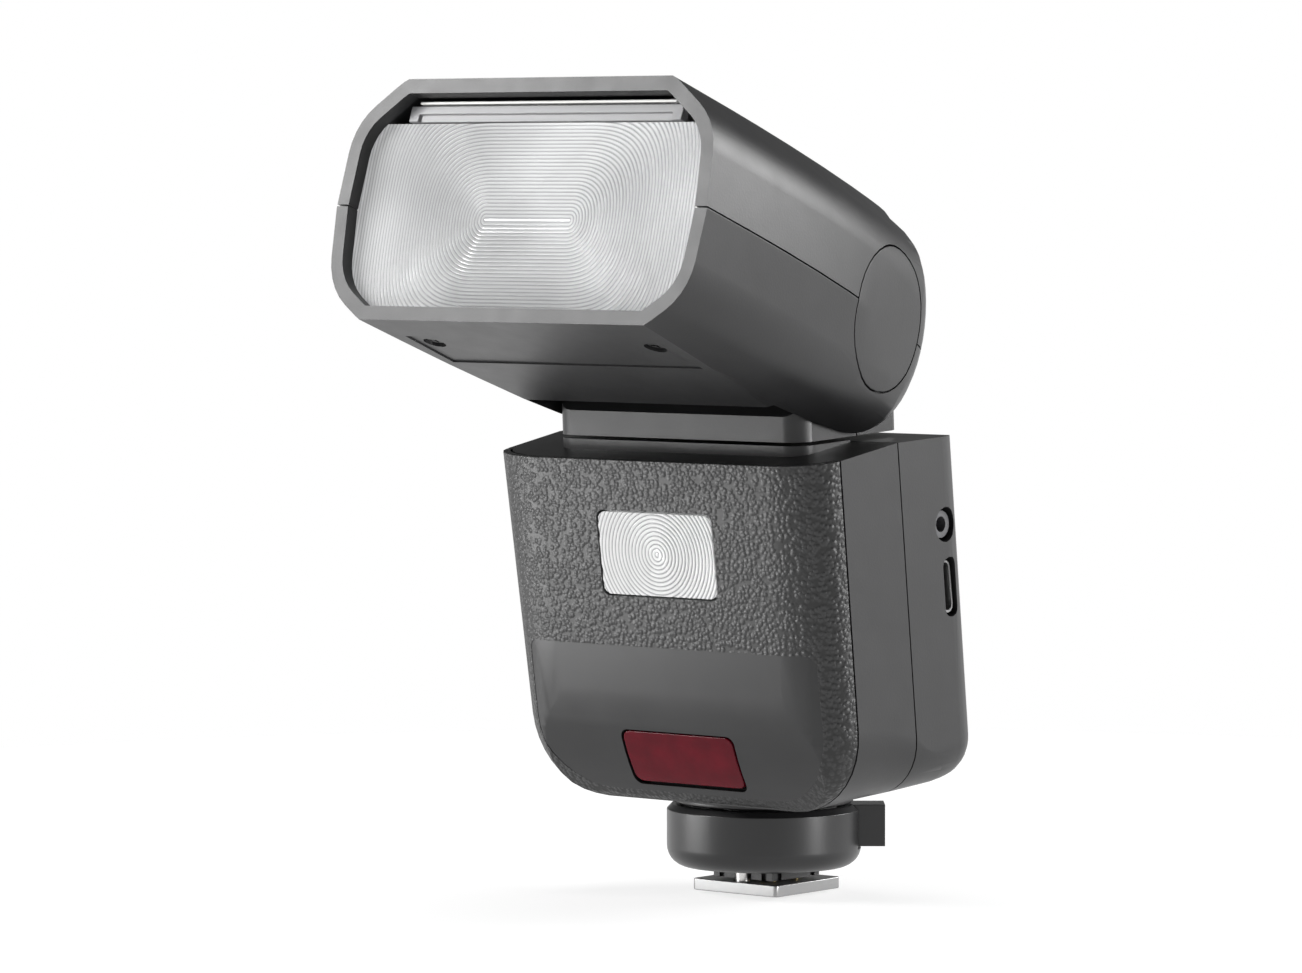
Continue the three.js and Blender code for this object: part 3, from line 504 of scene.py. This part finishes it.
def groove_rings(reach, pitch, relief):
    """Radius and height of each groove's crest and foot, from half the depth in the middle."""
    crest = 0.72  # where in its pitch a groove is highest
    full_depth_ring = 4  # the first ring with the full depth
    rings = []
    for ring in range(int(reach / pitch) + 3):
        share = min(1.0, 0.5 + 0.5 * ring / full_depth_ring)
        rings.append(((ring + crest - 0.5) * pitch, relief * share))
        rings.append(((ring + 0.5) * pitch, 0.0))
    return rings


def grooved_sheet(rings, spokes, core, squareness, place_of):
    """A sheet of sawtooth rings; place_of turns (across, upwards, rise) into a point."""
    build = bmesh.new()
    groove = build.verts.layers.float.new("groove")
    angles = [2 * math.pi * (i + 0.5) / spokes for i in range(spokes)]
    before = None
    for radius, rise in rings:
        loop = []
        for angle in angles:
            across, upwards = groove_point(radius, angle, core, squareness)
            vertex = build.verts.new(place_of(across, upwards, rise))
            # 1 marks a groove's foot, where the lens material paints shade
            vertex[groove] = 0.0 if rise else 1.0
            loop.append(vertex)
        if before is None:
            build.faces.new(loop)
        else:
            for i in range(spokes):
                j = (i + 1) % spokes
                build.faces.new((before[i], loop[i], loop[j], before[j]))
        before = loop
    return build


def trim(build, outline, middle):
    """Cuts a sheet to a convex outline of (x, up) pairs round a middle."""
    for i, (x, up) in enumerate(outline):
        after = outline[(i + 1) % len(outline)]
        outward = Vector((after[1] - up, 0, x - after[0]))
        if outward.dot(Vector((x - middle.x, 0, up - middle.z))) < 0:
            outward = -outward
        everything = build.verts[:] + build.edges[:] + build.faces[:]
        bmesh.ops.bisect_plane(
            build, geom=everything, plane_co=(x, 0, up), plane_no=outward, clear_outer=True
        )


def close_behind(build, depth, slope):
    """Gives a trimmed sheet its walls and a flat back, at a depth that changes upwards by a slope."""
    rim = [edge for edge in build.edges if edge.is_boundary]
    walls = bmesh.ops.extrude_edge_only(build, edges=rim)["geom"]
    for item in walls:
        if isinstance(item, bmesh.types.BMVert):
            item.co.y = depth + slope * item.co.z
    back_edges = [item for item in walls if isinstance(item, bmesh.types.BMEdge) and item.is_boundary]
    bmesh.ops.edgeloop_fill(build, edges=back_edges)
    bmesh.ops.recalc_face_normals(build, faces=build.faces)


def fresnel(node, turn, material, pitch, relief, core=0.0, squareness=0.0, spokes=180):
    """A lens with sawtooth grooves, sizes in mm, cut to the CAD node's outline."""
    thickness = 2 * MM
    low, high = extent(node, turn)
    middle = (low + high) / 2
    depth, slope = front_plane(node, turn)
    outline = outline_of(node, turn)
    reach = max(math.hypot(x - middle.x, up - middle.z) for x, up in outline)

    def place_of(across, upwards, rise):
        z = middle.z + upwards
        return (middle.x + across, depth + slope * z + relief * MM - rise, z)

    rings = groove_rings(reach, pitch * MM, relief * MM)
    build = grooved_sheet(rings, spokes, core * MM, squareness, place_of)
    trim(build, outline, middle)
    close_behind(build, depth + thickness, slope)
    mesh = mesh_from(build, node + "_grooved")
    mesh.shade_smooth()
    mesh.set_sharp_from_angle(angle=math.radians(20))
    return add_piece(node + "_grooved", mesh, node, material, turn)


# ------------------------------------------------------------------ camera, lights and floor
def make_camera():
    """A long lens, nearly level with the flash, at its front right."""
    azimuth, elevation = math.radians(39.4), math.radians(3.04)
    distance = 1.0051
    aim_right, aim_up = -0.01996, 0.06953
    back = Vector((
        math.sin(azimuth) * math.cos(elevation),
        -math.cos(azimuth) * math.cos(elevation),
        math.sin(elevation),
    ))
    right = Vector((math.cos(azimuth), math.sin(azimuth), 0))
    aim = right * aim_right + back.cross(right) * aim_up
    camera = linked("camera", bpy.data.cameras.new("camera"))
    camera.data.lens = 160.73
    camera.data.sensor_width = 36
    camera.data.clip_start = 0.05
    camera.location = aim + back * distance
    camera.rotation_euler = (math.pi / 2 - elevation, 0, azimuth)
    bpy.context.scene.camera = camera


# Name, place, (width, height) and watts of each soft box; all of them face the flash's middle.
LIGHTS = (
    ("overhead", (0.0, 0.1, 1.3), (1.0, 1.0), 6),
    ("left_key", (-0.24, -0.3, 0.26), (0.18, 0.12), 1.2),  # the bezel mirrors it
    ("low_key", (-0.175, -0.165, 0.02), (0.13, 0.038), 0.26),  # the leaning front mirrors it
    ("right_side", (0.62, 0.82, 0.45), (0.5, 0.5), 10),  # the right sides mirror it
    ("edge_strip", (1.02, 0.22, 0.12), (0.12, 0.5), 8),  # lights the front's right edge
)

# Brightness of the surroundings at each height of a direction, from straight down (-1) to straight up (1).
SKY_BANDS = ((-0.45, 0.45), (-0.28, 1.0), (0.05, 1.0), (0.16, 0.12))


def make_light(name, place, size, power):
    lamp = bpy.data.lights.new(name, "AREA")
    lamp.shape = "RECTANGLE"
    lamp.size, lamp.size_y = size
    lamp.energy = power
    holder = linked(name, lamp)
    holder.location = place
    holder.visible_camera = False
    low, high = cad_bounds
    aim = (low + high) / 2
    holder.rotation_euler = (aim - Vector(place)).to_track_quat("-Z", "Y").to_euler()


def make_world():
    """A bright band round the horizon between a dark sky and a dim ground."""
    world = bpy.data.worlds.new("studio")
    world.use_nodes = True
    tree = world.node_tree
    place = tree.nodes.new("ShaderNodeTexCoord")
    split = tree.nodes.new("ShaderNodeSeparateXYZ")
    height = tree.nodes.new("ShaderNodeMapRange")
    height.inputs["From Min"].default_value = -1
    ramp = tree.nodes.new("ShaderNodeValToRGB")
    tree.links.new(place.outputs["Generated"], split.inputs["Vector"])
    tree.links.new(split.outputs["Z"], height.inputs["Value"])
    tree.links.new(height.outputs["Result"], ramp.inputs["Fac"])
    tree.links.new(ramp.outputs["Color"], tree.nodes["Background"].inputs["Color"])
    stops = ramp.color_ramp.elements
    while len(stops) < len(SKY_BANDS):
        stops.new(0.5)
    for stop, (rise, level) in zip(stops, SKY_BANDS):
        stop.position = (rise + 1) / 2
        stop.color = (level, level, level, 1)
    tree.nodes["Background"].inputs["Strength"].default_value = 1.0
    bpy.context.scene.world = world


def make_floor():
    """A pale disc just under the foot."""
    low, high = cad_bounds
    build = bmesh.new()
    bmesh.ops.create_circle(build, cap_ends=True, segments=96, radius=0.3)
    bmesh.ops.translate(build, verts=build.verts, vec=(0, 0, low.z - 0.2 * MM))
    floor = linked("floor", mesh_from(build, "floor"))
    floor.data.materials.append(pale_floor())


def make_studio():
    make_camera()
    make_world()
    for name, place, size, power in LIGHTS:
        make_light(name, place, size, power)
    make_floor()
    bpy.context.scene.view_settings.view_transform = "Standard"


# ------------------------------------------------------------------ seams of the casings
def seam(node, turn, end, normal, share):
    """A seam's plane, at a node's low (0) or high (1) end, and the share of a bevel that edges in it get."""
    return turn @ extent(node, turn)[end], normal, share


FRONT_SEAM = seam("front_shell", BODY_FRAME, 1, BODY_BACK, 0.15)
REAR_SEAM = seam("rear_shell", BODY_FRAME, 0, BODY_BACK, 0.25)
HEAD_SEAMS = [
    seam("head_lower_shell", HEAD_FRAME, 1, HEAD_UP, 0.2),
    seam("head_upper_shell", HEAD_FRAME, 0, HEAD_UP, 0.2),
]


# ------------------------------------------------------------------ the flash
def make_body():
    refine("front_shell", 0.8, seams=[FRONT_SEAM])
    refine("rear_shell", 0.5, seams=[REAR_SEAM])
    refine("leather_front", 0.25)
    panel = refine("lower_front_panel", 0.15)
    widen(panel, BODY_FRAME, 0.35)
    fresnel("led_lens", BODY_FRAME, LAMP_LENS, pitch=0.72, relief=0.2)
    for node in ("af_window", "display_cover"):
        refine(node, 0.3)
    refine("sync_socket", 0.15)
    refine("usb_socket", 0.12, material=PAINTED_SHADE_STEEL)
    refine("battery_pack", 0.35)
    refine("battery_latch", 0.25)


def make_dial():
    """The control dial: a knurled ring with a dished face round the set button."""
    low, high = extent("control_dial", BODY_FRAME)
    middle = (low + high) / 2
    face = high.y
    step = low.y + 1.2 * MM
    bore = 5.4 * MM
    flange = (high.x - low.x) / 2
    grip = flange - 1.2 * MM
    profile = [
        (bore, low.y, False), (flange, low.y, False), (flange, step, False), (grip, step, False),
        (grip, face - 2.6 * MM, True), (grip, face - 1.1 * MM, True),
        (grip - 0.4 * MM, face - 0.3 * MM, True), (grip - 1.1 * MM, face, False),
        (grip - 2.2 * MM, face - 0.35 * MM, False), (bore + 0.4 * MM, face - 0.35 * MM, False),
        (bore, face - 0.7 * MM, False),
    ]
    teeth = 48
    mesh = shaded(turned_mesh("control_dial", profile, teeth * 6, (0.22, teeth)), 30)
    place = BODY_FRAME @ Matrix.Translation((middle.x, 0, middle.z))
    add_piece("control_dial_knurled", mesh, "control_dial", place=place)


def make_display_area():
    """The dark active area of the display, standing just proud of its cover."""
    low, high = extent("display_cover", BODY_FRAME)
    middle = (low + high) / 2
    margin = 4 * MM
    thickness = 0.3 * MM
    sunk = 0.13 * MM  # how far its middle lies below the cover's face
    size = (high.x - low.x - 2 * margin, thickness, high.z - low.z - 2 * margin)
    place = BODY_FRAME @ Matrix.Translation((middle.x, high.y - sunk, middle.z))
    piece = linked("display_area", block_mesh(size, place))
    piece.data.materials.append(display_glass())
    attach(piece, BODY_OF["display_cover"])


def make_controls():
    make_dial()
    refine("set_button", 0.5)
    for number in range(1, 5):
        refine(f"function_button_{number}", 0.5)
    make_display_area()
    refine("power_switch", 0.4)
    refine("test_button", 0.4)


def make_foot():
    for node in ("collar_seat", "foot_collar", "foot_block"):
        refine(node, 0.3)
    refine("lock_lever", 0.5)
    refine("lock_pin", 0.25)
    refine("centre_contact", 0.25)
    refine("foot_plate", 0.3, material=PAINTED_SHADE_STEEL)
    for number in range(1, 5):
        refine(f"contact_pin_{number}", 0.25)


def make_neck():
    for node in ("neck_front_shell", "neck_rear_shell"):
        refine(node, 1.0, segments=4)


def underside(node, turn):
    """A point on a CAD node's broadest downward face, and that face's outward normal."""
    down = turn.to_3x3() @ Vector((0, 0, -1))
    faces = [face for face in frame["nodes"][node].data.polygons if face.normal.dot(down) > 0.9]
    broadest = max(faces, key=lambda face: face.area)
    return broadest.center.copy(), broadest.normal.copy()


def label_recess():
    """A shallow blank recess for a label in the underside, round the two screws."""
    depth = 0.3 * MM
    length = 13 * MM
    past_screws = 3 * MM  # how much wider the recess is than the span of the screws
    behind_screws = 2.5 * MM  # how far its middle lies behind theirs
    point, normal = underside("head_lower_shell", HEAD_FRAME)
    low, high = extent("head_screw_right", HEAD_FRAME)
    screws = HEAD_FRAME @ Vector((0, (low.y + high.y) / 2 + behind_screws, low.z))
    middle = screws + normal * (point - screws).dot(normal)
    place = axes(middle, normal.cross(X), normal)
    return block_mesh((2 * high.x + past_screws, length, 2 * depth), place)


def cross_recess(node):
    """Two crossed slots in the outer end of an underside screw."""
    long = 2.2 * MM
    short = 0.5 * MM
    depth = 0.6 * MM
    low, high = extent(node, HEAD_FRAME)
    middle = (low + high) / 2
    place = HEAD_FRAME @ Matrix.Translation((middle.x, middle.y, low.z))
    return [block_mesh((long, short, 2 * depth), place), block_mesh((short, long, 2 * depth), place)]


def make_head():
    refine("head_upper_shell", 0.6, seams=HEAD_SEAMS)
    lower = refine("head_lower_shell", 0.6, seams=HEAD_SEAMS)
    cut_away(lower, [label_recess()])
    for node in ("head_screw_left", "head_screw_right"):
        screw = refine(node, 0.25, material=BLACK_STEEL)
        cut_away(screw, cross_recess(node))
    fresnel("fresnel_lens", HEAD_FRAME, FRESNEL, pitch=0.62, relief=0.15, core=9, squareness=0.7, spokes=280)
    for node in ("pivot_cap_left", "pivot_cap_right"):
        refine(node, 0.15)
    for node in ("zoom_reflector", "flash_tube"):
        refine(node, 0.2)
    refine("bounce_card", 0.15)
    refine("wide_panel", 0.15, material=FROSTED)


def finish_frame_nodes():
    """Gives every CAD node its slot's material, which shows where no piece stands for the node."""
    for name, node in frame["nodes"].items():
        for slot in node.material_slots:
            slot.material = MATERIALS[SLOT_OF[name]]


make_studio()
finish_frame_nodes()
make_body()
make_controls()
make_foot()
make_neck()
make_head()
